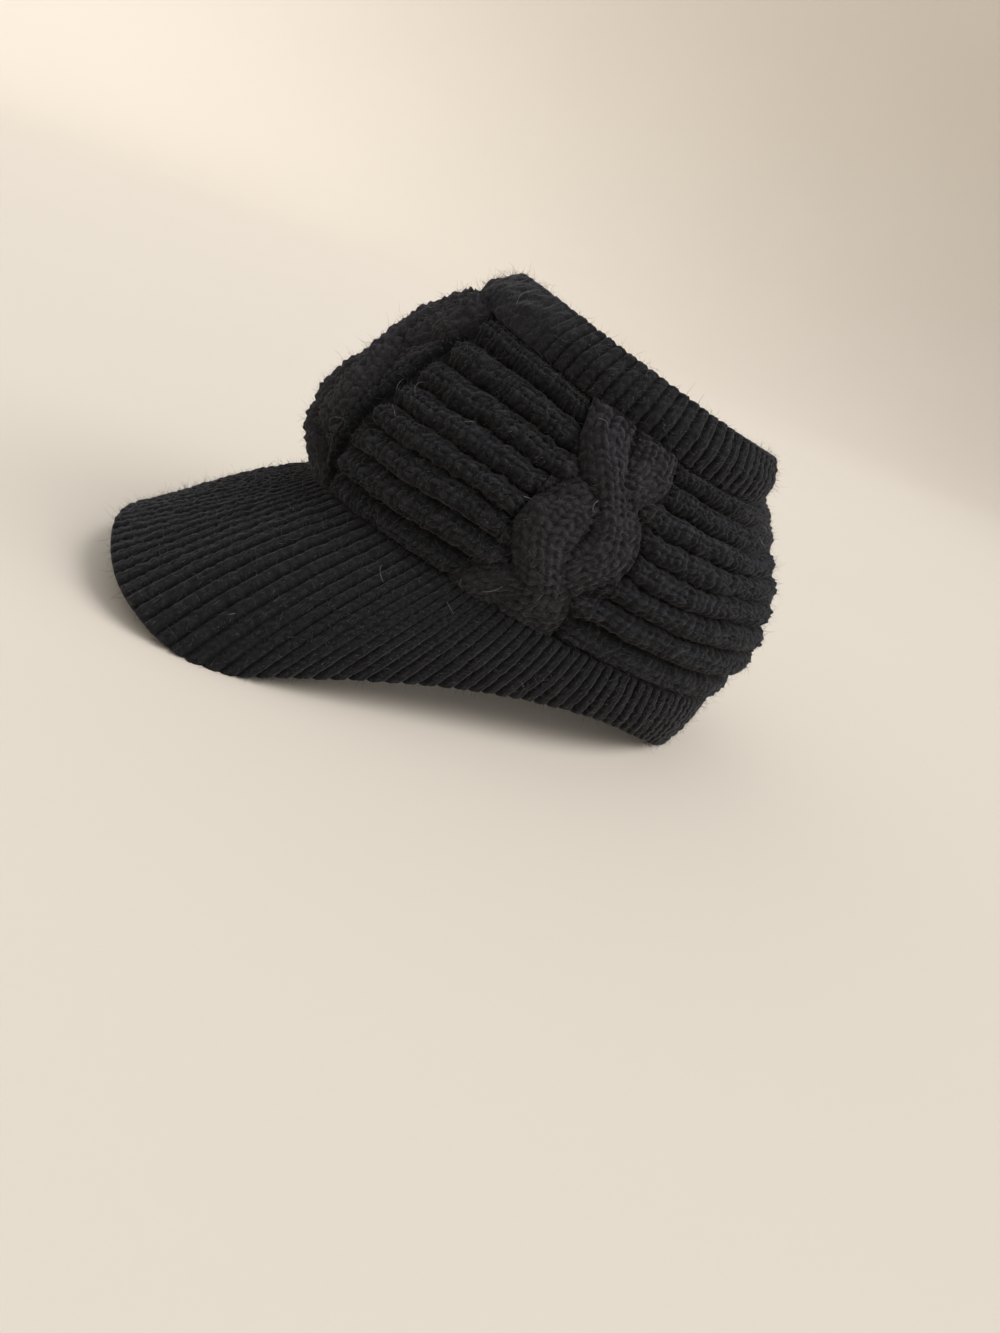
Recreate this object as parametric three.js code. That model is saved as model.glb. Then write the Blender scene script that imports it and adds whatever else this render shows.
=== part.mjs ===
// Chunky knitted cap with a peak, four cables and an open, rib-edged top for a ponytail.
// Millimetres, +Z up, peak towards -Y, the wearer's left towards +X.
// Walls are worked out from the named sizes below and from short tables that hold shares of those sizes.

import * as THREE from "three";

// Driving dimensions
const CROWN_LENGTH = 201; // forehead to nape at the crown's lower seam
const CROWN_WIDTH = 163; // side to side over the rolls, at the widest
const CROWN_RISE = 90; // lower seam to the rim
const BACK_FULLNESS = 0.1; // how far round the sides the crown's widest place moves back, in radians
const SEAM_TILT = 38; // how much higher the lower seam is at the forehead than at the nape
const SEAM_HEIGHT = 41; // middle of the lower seam above the table
const PEAK_REACH = 67; // how far the peak stands out ahead of the forehead
const RIM_HEIGHT = 20;
const CABLE_WIDTH = 44;
const CABLE_RELIEF = 5; // height of a strand above the rolls
const CABLE_CROSSING = 1.5; // how much higher the strand on top lies at a crossing
const ROLL_COUNT = 8; // thick knitted rolls from the lower seam up to the rim
const ROLL_RELIEF = 3.2; // depth of the groove between two rolls
const ROLL_END = 2.6; // how far a roll's end tucks down beside a cable
const GROOVE_END = 0.9; // how far a groove's end tucks down there
const RIB_PITCH = 5.5; // fine ribs of peak, band and rim
const RIB_RELIEF = 1.1;
const CROWN_WALL = 7;
const PEAK_WALL = 6;
const BAND_WALL = 5;
const RIM_WALL = 5;
const LIP = 1.6; // roundness of a free edge
const GAP = 0.35; // between neighbouring pieces
const CABLE_GAP = 0.6; // between a cable and a panel, whose facets differ
const RIM_GAP = 0.9; // between the crown and the rim

// Steps of the facets
const PANEL_STEPS = [0, 0.05, 0.27, 0.5, 0.73, 0.95, 1];
const ROWS_IN_A_ROLL = 3;
const CABLE_COLUMNS = 8;
const CABLE_ROWS = 12;
const PEAK_STEPS = [0, 0.3, 0.62, 0.88, 1]; // free edge up to the crown
const BAND_STEPS = [0, 0.62, 0.88, 1];
const RIM_STEPS = [0, 0.5, 1];
const EDGE_SAMPLES = 40; // for each row of the edge table, when its length is measured

// Steps for the slopes of the skins: across in degrees round the crown, or in rows of the edge table, and up in shares
const CROWN_SLOPE = { across: 0.5, up: 0.01 };
const RIM_SLOPE = { across: 0.5, up: 0.05 };
const LOWER_SLOPE = { across: 0.1, up: 0.02 };

// The crown's skin: height of each row is a share of CROWN_RISE, front and back places are shares of CROWN_LENGTH,
// half is a share of CROWN_WIDTH, and side lifts the row at the ears by a share of CROWN_RISE. Rows are evenly spaced.
const CROWN_ROWS = [
  { front: -0.5, frontRise: 0, back: 0.514, backRise: 0, half: 0.479, side: 0.05 },
  { front: -0.512, frontRise: 0.211, back: 0.564, backRise: 0.256, half: 0.5, side: 0.022 },
  { front: -0.495, frontRise: 0.417, back: 0.56, backRise: 0.489, half: 0.494, side: 0 },
  { front: -0.445, frontRise: 0.589, back: 0.53, backRise: 0.689, half: 0.469, side: -0.017 },
  { front: -0.375, frontRise: 0.778, back: 0.474, backRise: 0.856, half: 0.433, side: -0.033 },
  { front: -0.299, frontRise: 0.957, back: 0.414, backRise: 1.02, half: 0.399, side: -0.056 },
];

// The rim's skin, counted from the crown's top row in shares of RIM_HEIGHT.
const RIM_ROWS = [
  { front: 0, frontRise: 0, back: 0, backRise: 0, half: 0, side: 0 },
  { front: 0.2, frontRise: 0.4, back: 0.07, backRise: 0.42, half: 0.02, side: 0.05 },
  { front: 0.7, frontRise: 0.72, back: -0.07, backRise: 0.85, half: -0.25, side: 0.12 },
];

// The free edge from the tip of the peak round to the nape. root is the angle round the crown where the rib starts,
// side is a share of CROWN_WIDTH, along of CROWN_LENGTH, reach of PEAK_REACH and drop of SEAM_HEIGHT.
// swell is how far the wall bulges between crown and edge, as a share of its own width.
const EDGE_ROWS = [
  { root: 0, side: 0, along: -0.5, reach: 1.02, drop: 0.565, swell: -0.01 },
  { root: 9, side: 0.135, along: -0.5, reach: 0.995, drop: 0.6, swell: 0 },
  { root: 18, side: 0.255, along: -0.5, reach: 0.92, drop: 0.68, swell: 0.02 },
  { root: 28, side: 0.346, along: -0.5, reach: 0.795, drop: 0.78, swell: 0.06 },
  { root: 38, side: 0.415, along: -0.5, reach: 0.595, drop: 0.92, swell: 0.08 },
  { root: 49, side: 0.46, along: -0.5, reach: 0.31, drop: 0.99, swell: 0.09 },
  { root: 60, side: 0.481, along: -0.475, reach: 0, drop: 0.83, swell: 0.09 },
  { root: 69, side: 0.488, along: -0.331, reach: 0, drop: 0.66, swell: 0.08 },
  { root: 79, side: 0.488, along: -0.182, reach: 0, drop: 0.54, swell: 0.08 },
  { root: 92, side: 0.484, along: -0.027, reach: 0, drop: 0.49, swell: 0.08 },
  { root: 105, side: 0.472, along: 0.122, reach: 0, drop: 0.53, swell: 0.08 },
  { root: 120, side: 0.417, along: 0.254, reach: 0, drop: 0.72, swell: 0.08 },
  { root: 140, side: 0.3, along: 0.375, reach: 0, drop: 0.97, swell: 0.05 },
  { root: 160, side: 0.16, along: 0.453, reach: 0, drop: 1.02, swell: 0.03 },
  { root: 180, side: 0, along: 0.474, reach: 0, drop: 1.02, swell: 0.03 },
];
const PEAK_END_ROW = 8; // the peak passes into the band here

// Where each cable runs: middle is an angle round the crown, half a share of CABLE_WIDTH, from the lower seam up.
const SIDE_CABLE_ROWS = [
  { middle: 71.5, half: 0.53 },
  { middle: 76, half: 0.52 },
  { middle: 78.5, half: 0.53 },
  { middle: 79.5, half: 0.5 },
  { middle: 80.5, half: 0.46 },
  { middle: 78, half: 0.45 },
];
const END_CABLE_ROWS = [
  { middle: 0, half: 0.42 },
  { middle: 0, half: 0.43 },
  { middle: 0, half: 0.45 },
  { middle: 0, half: 0.43 },
  { middle: 0, half: 0.41 },
  { middle: 0, half: 0.39 },
];

// How far a cable's two strands have turned round each other, in degrees, from the lower seam up.
const STRAND_TURNS = [{ turn: 345 }, { turn: 270 }, { turn: 195 }, { turn: 120 }, { turn: 45 }, { turn: -25 }];
const STRAND_SWING = 0.5; // sideways swing of a strand, as a share of the cable's half width
const STRAND_HALF = 0.55; // half width of a strand, as a share of the cable's half width

const charcoal = { color: 0x1b1a1b, roughness: 0.95, metalness: 0 };
const darkCharcoal = { color: 0x171617, roughness: 0.95, metalness: 0 };
const radians = THREE.MathUtils.degToRad;

// Smooth value of a table's column at a place counted in rows.
function columnAt(rows, name, place, rowAt = (index) => rows[THREE.MathUtils.clamp(index, 0, rows.length - 1)]) {
  const index = Math.floor(place);
  const part = place - index;
  const [a, b, c, d] = [-1, 0, 1, 2].map((step) => rowAt(index + step)[name]);
  const bend = 2 * a - 5 * b + 4 * c - d;
  const twist = 3 * (b - c) + d - a;
  return b + 0.5 * part * (c - a + part * (bend + part * twist));
}

// A ring of skin: a tilted oval given by its front, back, half width and the lift at its sides.
function ovalPoint(front, back, half, side, turn) {
  const share = (1 - Math.cos(turn)) / 2;
  const point = new THREE.Vector3().lerpVectors(front, back, share);
  point.x = half * Math.sin(turn - BACK_FULLNESS * Math.sin(turn));
  point.z += side * Math.sin(turn) ** 2;
  return point;
}

function crownEnds(rise) {
  const place = rise * (CROWN_ROWS.length - 1);
  const value = (name) => columnAt(CROWN_ROWS, name, place);
  const frontHeight = SEAM_TILT / 2 + value("frontRise") * CROWN_RISE;
  const backHeight = -SEAM_TILT / 2 + value("backRise") * CROWN_RISE;
  return {
    front: new THREE.Vector3(0, value("front") * CROWN_LENGTH, frontHeight),
    back: new THREE.Vector3(0, value("back") * CROWN_LENGTH, backHeight),
    half: value("half") * CROWN_WIDTH,
    side: value("side") * CROWN_RISE,
  };
}

// The crown's skin at an angle round the head, in degrees from the front, and a rise from 0 at the seam to 1 at the rim.
function crownSkin(angle, rise) {
  const { front, back, half, side } = crownEnds(rise);
  return ovalPoint(front, back, half, side, radians(angle));
}

function rimSkin(angle, rise) {
  const { front, back, half, side } = crownEnds(1);
  const place = rise * (RIM_ROWS.length - 1);
  const value = (name) => columnAt(RIM_ROWS, name, place) * RIM_HEIGHT;
  front.add(new THREE.Vector3(0, value("front"), value("frontRise")));
  back.add(new THREE.Vector3(0, value("back"), value("backRise")));
  return ovalPoint(front, back, half + value("half"), side + value("side"), radians(angle));
}

// Outward normal, and direction up the wall, of any skin that is a function of two numbers.
function frameOf(skin, across, up, step) {
  const before = skin(across - step.across, up);
  const after = skin(across + step.across, up);
  const below = skin(across, up - step.up);
  const above = skin(across, up + step.up);
  const upward = above.sub(below).normalize();
  const sideways = after.sub(before);
  const normal = new THREE.Vector3().crossVectors(sideways, upward).normalize();
  return { normal, upward, stretch: sideways.length() / (2 * step.across) };
}
const crownFrame = (angle, rise) => frameOf(crownSkin, angle, rise, CROWN_SLOPE);
const rimFrame = (angle, rise) => frameOf(rimSkin, angle, rise, RIM_SLOPE);

// A wall made of one closed section for each column. A section lists its outer points from the bottom up, its inner points
// likewise, and the lips between them. Neighbouring sections are joined, and the two ends are closed unless it is a ring.
function wallMesh(name, material, sections, ring) {
  const points = [];
  const faces = [];
  const loops = sections.map(({ outer, topLip = [], inner, bottomLip = [] }) => {
    const loop = [...outer, ...topLip, ...inner.slice().reverse(), ...bottomLip];
    const start = points.length;
    points.push(...loop);
    return loop.map((_, index) => start + index);
  });
  const joints = ring ? loops.length : loops.length - 1;
  for (let column = 0; column < joints; column += 1) {
    const here = loops[column];
    const next = loops[(column + 1) % loops.length];
    here.forEach((corner, index) => {
      const after = (index + 1) % here.length;
      faces.push([corner, next[index], next[after]], [corner, next[after], here[after]]);
    });
  }
  if (!ring) {
    capFaces(sections[0], loops[0]).forEach((face) => faces.push(face));
    capFaces(sections.at(-1), loops.at(-1)).forEach((face) => faces.push(face.reverse()));
  }
  const geometry = new THREE.BufferGeometry();
  const coordinates = points.flatMap((point) => [point.x, point.y, point.z]);
  geometry.setAttribute("position", new THREE.Float32BufferAttribute(coordinates, 3));
  geometry.setIndex(faces.flat());
  geometry.computeVertexNormals();
  const mesh = new THREE.Mesh(geometry, new THREE.MeshStandardMaterial(material));
  mesh.name = name;
  return mesh;
}

// Faces that close a section: strips from its outer to its inner points, and a triangle at each lip.
function capFaces({ outer, topLip = [] }, loop) {
  const rows = outer.length;
  const firstInner = rows + topLip.length;
  const innerAt = (row) => loop[firstInner + rows - 1 - row];
  const faces = [];
  for (let row = 0; row < rows - 1; row += 1) {
    faces.push([loop[row], loop[row + 1], innerAt(row + 1)], [loop[row], innerAt(row + 1), innerAt(row)]);
  }
  if (topLip.length) faces.push([loop[rows - 1], loop[rows], innerAt(rows - 1)]);
  if (loop.length > firstInner + rows) faces.push([innerAt(0), loop.at(-1), loop[0]]);
  return faces;
}

// Cables and the panels between them

function cableEdge(rows, centre, rise, hand) {
  const place = rise * (rows.length - 1);
  const middle = centre + columnAt(rows, "middle", place);
  const half = columnAt(rows, "half", place) * CABLE_WIDTH;
  return middle + (hand * half) / crownFrame(middle, rise).stretch;
}

// Height of a cable's surface over the crown's skin, at a place across it from -1 to 1.
function strandRelief(across, rise) {
  const turn = radians(columnAt(STRAND_TURNS, "turn", rise * (STRAND_TURNS.length - 1)));
  const heights = [0, Math.PI].map((start) => {
    const off = (across + STRAND_SWING * Math.cos(turn + start)) / STRAND_HALF;
    const round = Math.sqrt(Math.max(0, 1 - off * off));
    const lift = CABLE_CROSSING * Math.sin(turn + start);
    return round * (CABLE_RELIEF + ROLL_END + lift) - ROLL_END;
  });
  return Math.max(...heights);
}

function rollRelief(rise) {
  const round = Math.abs(Math.sin(Math.PI * rise * ROLL_COUNT));
  return -ROLL_RELIEF * (1 - Math.sqrt(round));
}

// A stretch of crown between two edges, each an angle that may change with the rise.
function crownStretch(name, material, edges, steps, rowCount, reliefAt) {
  const sections = steps.map((step) => {
    const section = { outer: [], inner: [] };
    for (let row = 0; row <= rowCount; row += 1) {
      const rise = row / rowCount;
      const [start, end] = edges.map(({ at, clear }) => {
        const angle = at(rise);
        return angle + (clear * CABLE_GAP) / 2 / crownFrame(angle, rise).stretch;
      });
      const angle = start + (end - start) * step;
      const skin = crownSkin(angle, rise);
      const { normal } = crownFrame(angle, rise);
      section.outer.push(skin.clone().addScaledVector(normal, reliefAt(step, rise)));
      section.inner.push(skin.addScaledVector(normal, -CROWN_WALL));
    }
    return section;
  });
  return wallMesh(name, material, sections, false);
}

function makePanel(name, start, end) {
  const relief = (step, rise) => {
    const nearEdge = Math.min(step, 1 - step) === 0 ? ROLL_END : 0;
    return Math.max(rollRelief(rise) - nearEdge, -ROLL_RELIEF - GROOVE_END);
  };
  const edges = [{ at: start, clear: 1 }, { at: end, clear: -1 }];
  return crownStretch(name, charcoal, edges, PANEL_STEPS, ROLL_COUNT * ROWS_IN_A_ROLL, relief);
}

// hand is 1 for a cable whose strands cross one way and -1 for its mirror image.
function makeCable(name, start, end, hand) {
  const steps = Array.from({ length: CABLE_COLUMNS + 1 }, (_, index) => index / CABLE_COLUMNS);
  const relief = (step, rise) => strandRelief(hand * (2 * step - 1), rise);
  const edges = [{ at: start, clear: 1 }, { at: end, clear: -1 }];
  return crownStretch(name, darkCharcoal, edges, steps, CABLE_ROWS, relief);
}

function makeCrown() {
  const edge = (rows, centre, hand) => (rise) => cableEdge(rows, centre, rise, hand);
  const frontLeft = edge(END_CABLE_ROWS, 0, 1);
  const frontRight = edge(END_CABLE_ROWS, 0, -1);
  const leftFront = edge(SIDE_CABLE_ROWS, 0, -1);
  const leftBack = edge(SIDE_CABLE_ROWS, 0, 1);
  const backLeft = edge(END_CABLE_ROWS, 180, -1);
  const backRight = edge(END_CABLE_ROWS, 180, 1);
  const mirrored = (at) => (rise) => 360 - at(rise);
  return [
    makeCable("cable_front", frontRight, frontLeft, 1),
    makePanel("panel_front_left", frontLeft, leftFront),
    makeCable("cable_left", leftFront, leftBack, 1),
    makePanel("panel_back_left", leftBack, backLeft),
    makeCable("cable_back", backLeft, backRight, 1),
    makePanel("panel_back_right", backRight, mirrored(leftBack)),
    makeCable("cable_right", mirrored(leftBack), mirrored(leftFront), -1),
    makePanel("panel_front_right", mirrored(leftFront), mirrored(frontLeft)),
  ];
}

// Rim round the opening

function makeRim() {
  const length = crownFrame(90, 1).stretch * 360;
  const ribs = Math.round(length / RIB_PITCH);
  const sections = Array.from({ length: ribs * 2 }, (_, column) => {
    const angle = (360 * column) / (ribs * 2);
    const relief = column % 2 ? 0 : -RIB_RELIEF;
    const seam = crownFrame(angle, 1);
    const clear = seam.upward.clone().multiplyScalar(RIM_GAP);
    const top = rimFrame(angle, 1);
    const placed = (height, depth) => {
      const normal = height === 0 ? seam.normal : rimFrame(angle, height).normal;
      return rimSkin(angle, height).add(clear).addScaledVector(normal, depth);
    };
    const lip = placed(1, -RIM_WALL / 2).addScaledVector(top.upward, LIP);
    return {
      outer: RIM_STEPS.map((height) => placed(height, relief)),
      topLip: [lip],
      inner: [placed(0, -RIM_WALL), placed(1, -RIM_WALL)],
    };
  });
  return wallMesh("rim", darkCharcoal, sections, true);
}

// Peak and band: one skin that runs from the crown's lower seam to the free edge

// Row of the edge table, mirrored past the tip of the peak and past the nape.
function edgeRow(index) {
  const last = EDGE_ROWS.length - 1;
  if (index < 0) {
    const row = edgeRow(-index);
    return { ...row, root: -row.root, side: -row.side };
  }
  if (index > last) {
    const row = edgeRow(2 * last - index);
    return { ...row, root: 360 - row.root, side: -row.side };
  }
  return EDGE_ROWS[index];
}
const edgeValue = (name, place) => columnAt(EDGE_ROWS, name, place, edgeRow);

function freeEdge(place) {
  const ahead = edgeValue("reach", place) * PEAK_REACH;
  return new THREE.Vector3(
    edgeValue("side", place) * CROWN_WIDTH,
    edgeValue("along", place) * CROWN_LENGTH - ahead,
    -edgeValue("drop", place) * SEAM_HEIGHT,
  );
}

function seamPoint(place) {
  const angle = edgeValue("root", place);
  const { upward } = crownFrame(angle, 0);
  return crownSkin(angle, 0).addScaledVector(upward, -GAP);
}

// The skin at a place round the edge and a rise from 0 at the free edge to 1 at the seam.
function lowerSkin(place, rise) {
  const edge = freeEdge(place);
  const seam = seamPoint(place);
  const chord = seam.clone().sub(edge);
  const step = LOWER_SLOPE.across;
  const along = freeEdge(place + step).sub(freeEdge(place - step));
  along.add(seamPoint(place + step)).sub(seamPoint(place - step));
  const outward = along.cross(chord).normalize();
  const swell = edgeValue("swell", place) * chord.length();
  return edge.lerp(seam, rise).addScaledVector(outward, swell * 4 * rise * (1 - rise));
}

// Places round the edge that lie evenly along it, from one row of the edge table to another.
function evenPlaces(first, last, pitch, perPitch) {
  const steps = EDGE_SAMPLES * (last - first);
  const lengths = [0];
  for (let step = 1; step <= steps; step += 1) {
    const here = freeEdge(first + ((last - first) * step) / steps);
    const before = freeEdge(first + ((last - first) * (step - 1)) / steps);
    lengths.push(lengths.at(-1) + here.distanceTo(before));
  }
  const count = Math.round(lengths.at(-1) / pitch) * perPitch;
  return Array.from({ length: count + 1 }, (_, index) => {
    const wanted = (lengths.at(-1) * index) / count;
    const step = Math.min(Math.max(lengths.findIndex((length) => length >= wanted), 1), steps);
    const part = (wanted - lengths[step - 1]) / (lengths[step] - lengths[step - 1]);
    return first + ((last - first) * (step - 1 + part)) / steps;
  });
}

// The knit is pressed flat where the cap stands on the table.
function pressed(point) {
  point.z = Math.max(point.z, -SEAM_HEIGHT);
  return point;
}

// A section of the lower wall. Its top lies flat under the crown, and lower down it turns to the wall's own slope.
function lowerSection(place, heights, wall, relief) {
  const seamNormal = crownFrame(edgeValue("root", place), 0).normal;
  const frameAt = (height) => frameOf(lowerSkin, place, height, LOWER_SLOPE);
  const placed = (height, depth) => {
    const normal = height === 1 ? seamNormal : frameAt(height).normal;
    return pressed(lowerSkin(place, height).addScaledVector(normal, depth));
  };
  const edge = frameAt(0);
  const lip = lowerSkin(place, 0).addScaledVector(edge.normal, -wall / 2).addScaledVector(edge.upward, -LIP);
  return {
    outer: heights.map((height) => placed(height, relief)),
    inner: heights.map((height) => placed(height, -wall)),
    bottomLip: [pressed(lip)],
  };
}

// The ribs start and end in a groove, and the first and last sections stand half a gap inside the given rows.
function lowerWall(name, first, last, heights, wall) {
  const places = evenPlaces(first, last, RIB_PITCH, 2);
  const perMillimetre = (places[1] - places[0]) / freeEdge(places[0]).distanceTo(freeEdge(places[1]));
  places[0] += (perMillimetre * GAP) / 2;
  places[places.length - 1] -= (perMillimetre * GAP) / 2;
  const sections = places.map((place, column) => lowerSection(place, heights, wall, column % 2 ? 0 : -RIB_RELIEF));
  return wallMesh(name, charcoal, sections, false);
}

function makePeak() {
  return lowerWall("peak", -PEAK_END_ROW, PEAK_END_ROW, PEAK_STEPS, PEAK_WALL);
}

function makeBand() {
  const last = 2 * (EDGE_ROWS.length - 1) - PEAK_END_ROW;
  return lowerWall("band", PEAK_END_ROW, last, BAND_STEPS, BAND_WALL);
}

// The whole cap, with its origin on the table under the middle of its bounding box.
function makeCap() {
  const cap = new THREE.Group();
  cap.add(makePeak(), makeBand(), ...makeCrown(), makeRim());
  const box = new THREE.Box3().setFromObject(cap, true);
  const middle = box.getCenter(new THREE.Vector3());
  cap.position.set(-middle.x, -middle.y, -box.min.z);
  return cap;
}

const part = makeCap();
export default part;
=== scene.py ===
import math
from collections import namedtuple

import bpy
import numpy as np
from bpy.props import FloatProperty, FloatVectorProperty, IntProperty, PointerProperty
from mathutils import Matrix, Vector


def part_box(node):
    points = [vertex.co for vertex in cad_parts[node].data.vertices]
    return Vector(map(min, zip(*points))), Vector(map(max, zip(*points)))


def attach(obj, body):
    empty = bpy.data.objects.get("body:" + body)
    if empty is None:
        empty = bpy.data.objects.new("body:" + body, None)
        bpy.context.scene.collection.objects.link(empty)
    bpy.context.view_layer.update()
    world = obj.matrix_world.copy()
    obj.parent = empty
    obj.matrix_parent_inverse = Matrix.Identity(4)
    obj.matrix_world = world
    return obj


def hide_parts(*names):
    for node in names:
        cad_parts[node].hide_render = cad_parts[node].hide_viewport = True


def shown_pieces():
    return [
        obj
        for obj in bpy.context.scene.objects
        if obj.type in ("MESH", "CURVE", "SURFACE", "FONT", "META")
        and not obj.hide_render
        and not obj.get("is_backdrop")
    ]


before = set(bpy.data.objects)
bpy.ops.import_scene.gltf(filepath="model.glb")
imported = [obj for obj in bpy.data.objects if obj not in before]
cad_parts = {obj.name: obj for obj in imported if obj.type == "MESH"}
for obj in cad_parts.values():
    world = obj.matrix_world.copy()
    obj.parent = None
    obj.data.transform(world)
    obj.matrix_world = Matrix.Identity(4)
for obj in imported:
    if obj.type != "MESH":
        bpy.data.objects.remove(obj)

bl_info = {
    "name": "Knitted Ponytail Cap",
    "version": (1, 0, 0),
    "blender": (4, 5, 0),
    "location": "3D View > Sidebar > Knitted Cap",
    "description": "Builds a chunky knitted cap with a peak, four cables and an open, ribbed top",
    "category": "Add Mesh",
}

MM = 0.001
BODY = "root"

# Tables of the cap's shape. Each row's numbers stand in the order of the columns named above the table.

# Rows lie evenly from the crown's lower seam up to the rim. Rises and side are shares of the crown's rise,
# front and back of its length, and half of its width.
CrownRow = namedtuple("CrownRow", "front front_rise back back_rise half side")
CROWN_ROWS = [
    CrownRow(-0.5, 0, 0.514, 0, 0.479, 0.05),
    CrownRow(-0.512, 0.211, 0.564, 0.256, 0.5, 0.022),
    CrownRow(-0.495, 0.417, 0.56, 0.489, 0.494, 0),
    CrownRow(-0.445, 0.589, 0.53, 0.689, 0.469, -0.017),
    CrownRow(-0.375, 0.778, 0.474, 0.856, 0.433, -0.033),
    CrownRow(-0.299, 0.957, 0.414, 1.02, 0.399, -0.056),
]

# The rim is counted from the crown's top row, in shares of the rim's height.
RIM_ROWS = [
    CrownRow(0, 0, 0, 0, 0, 0),
    CrownRow(0.2, 0.4, 0.07, 0.42, 0.02, 0.05),
    CrownRow(0.7, 0.72, -0.07, 0.85, -0.25, 0.12),
]

# The free edge from the tip of the peak round to the nape. root is an angle round the crown, side a share
# of the crown's width, along of its length, reach of the peak's reach, drop of the seam's height, and swell
# of the distance from the free edge to the seam.
EdgeRow = namedtuple("EdgeRow", "root side along reach drop swell")
EDGE_ROWS = [
    EdgeRow(0, 0, -0.5, 1.02, 0.565, -0.01),
    EdgeRow(9, 0.135, -0.5, 0.995, 0.6, 0),
    EdgeRow(18, 0.255, -0.5, 0.92, 0.68, 0.02),
    EdgeRow(28, 0.346, -0.5, 0.795, 0.78, 0.06),
    EdgeRow(38, 0.415, -0.5, 0.595, 0.92, 0.08),
    EdgeRow(49, 0.46, -0.5, 0.31, 0.99, 0.09),
    EdgeRow(60, 0.481, -0.475, 0, 0.83, 0.09),
    EdgeRow(69, 0.488, -0.331, 0, 0.66, 0.08),
    EdgeRow(79, 0.488, -0.182, 0, 0.54, 0.08),
    EdgeRow(92, 0.484, -0.027, 0, 0.49, 0.08),
    EdgeRow(105, 0.472, 0.122, 0, 0.53, 0.08),
    EdgeRow(120, 0.417, 0.254, 0, 0.72, 0.08),
    EdgeRow(140, 0.3, 0.375, 0, 0.97, 0.05),
    EdgeRow(160, 0.16, 0.453, 0, 1.02, 0.03),
    EdgeRow(180, 0, 0.474, 0, 1.02, 0.03),
]
PEAK_END_ROW = 8

# Where a cable runs: middle is an angle round the crown, half a share of the cable's width.
CableRow = namedtuple("CableRow", "middle half")
SIDE_CABLE_ROWS = [
    CableRow(71.5, 0.53),
    CableRow(76, 0.52),
    CableRow(78.5, 0.53),
    CableRow(79.5, 0.5),
    CableRow(80.5, 0.46),
    CableRow(78, 0.45),
]
END_CABLE_ROWS = [CableRow(middle=0, half=half) for half in (0.42, 0.43, 0.45, 0.43, 0.41, 0.39)]

# How far a cable's two strands have turned round each other, in degrees, from the lower seam up.
StrandRow = namedtuple("StrandRow", "turn")
STRAND_ROWS = [StrandRow(345), StrandRow(270), StrandRow(195), StrandRow(120), StrandRow(45), StrandRow(-25)]

# Strands of a cable. Swing and half are shares of the cable's half width. A side cable's strands fade towards
# the back, and all strands are low at the lower end.
STRAND_SWING = 0.5
STRAND_HALF = 0.6
STRAND_COLUMNS = 4
STRAND_ROUNDNESS = 0.8
STRAND_STITCH_LEVEL = 0.45
STRAND_TUCK = 0.6
STRAND_GROOVE = 0.6
# Painted shade in the groove between the two strands.
STRAND_GROOVE_PAINTED_SHADE = 0.2
STRAND_GROOVE_REACH = 1.3 * MM
FADE_DROP = 0.3
FADE_START = -0.4
FADE_REACH = 1.1
LOW_END = 0.1
LOW_END_REACH = 0.24

# Panels by their start edge, end edge and the side, 0 or 1, that lies beside the front or back cable.
PANELS = {
    "panel_front_left": ("front_left", "left_front", 0),
    "panel_back_left": ("left_back", "back_left", 1),
    "panel_back_right": ("back_right", "right_back", 0),
    "panel_front_right": ("right_front", "front_end", 1),
}

# Cables by their start edge, end edge, hand of the twist and share of height lost towards the back edge.
CABLES = {
    "cable_front": ("front_right", "front_left", 1, 0),
    "cable_left": ("left_front", "left_back", 1, 0.65),
    "cable_back": ("back_left", "back_right", 1, 0),
    "cable_right": ("right_back", "right_front", -1, 0.65),
}

# Rolls and their grooves. A reach is how far from its middle something fades out.
ROLL_STITCH_HEIGHT = 1.7 * MM
ROLL_ROUNDNESS = 0.55
ROLL_STITCH_SHIFT = 0.37
ROLL_WOOLLINESS = 1.5
CABLE_STITCH_HEIGHT = 1.5 * MM
GROOVE_DEPTH = 1.3 * MM
GROOVE_HALF = 0.1
END_REACH = 3.4 * MM
# Painted shade on a roll's end where it tucks down beside a cable.
END_PAINTED_SHADE = 0.5
SOFT_JOIN = 2 * MM
DEEPEST = 4.4 * MM
SEAM_DEEPEST = 2.4 * MM
SEAM_REACH = 0.022

# The plain knit and the deep groove beside the front and back cables, with painted shade in the groove.
END_GROOVE = 4 * MM
END_GROOVE_REACH = 3.8 * MM
END_GROOVE_PAINTED_SHADE = 0.97
BANK_GROOVE_PAINTED_SHADE = 0.95
END_GROOVE_DEEPER_SHADE = 0.2
END_BANK = 7.5 * MM
BANK_COLUMN = 5 * MM
BANK_STITCH_LEVEL = 0.8

# Ribs of the peak, the band and the rim. The half and the share of a groove are shares of the rolls' own. The
# rim's ribs are faint near the front, by degrees round the rim. The inner sides stop short of the free edges.
RIB_STITCH_HEIGHT = 0.85 * MM
RIB_ROUNDNESS = 0.75
RIB_STITCH_SHIFT = 0.31
RIB_GROOVE_HALF = 1.6
RIB_GROOVE_SHARE = 0.25
RIB_SHARE = 0.85
RIB_WOOLLINESS = 0.7
PLAIN_WOOLLINESS = 0.4
LIP_SHARE = 0.1
RIM_LIP_SHARE = 0.27
INNER_LOWEST = 0.02
INNER_HIGHEST = 0.95
RIM_FRONT_STRENGTH = 0.15
RIM_FADE_START = 30
RIM_FADE_REACH = 22
RIM_STITCHES = 1.35
PEAK_PITCH = 1.22

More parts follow.
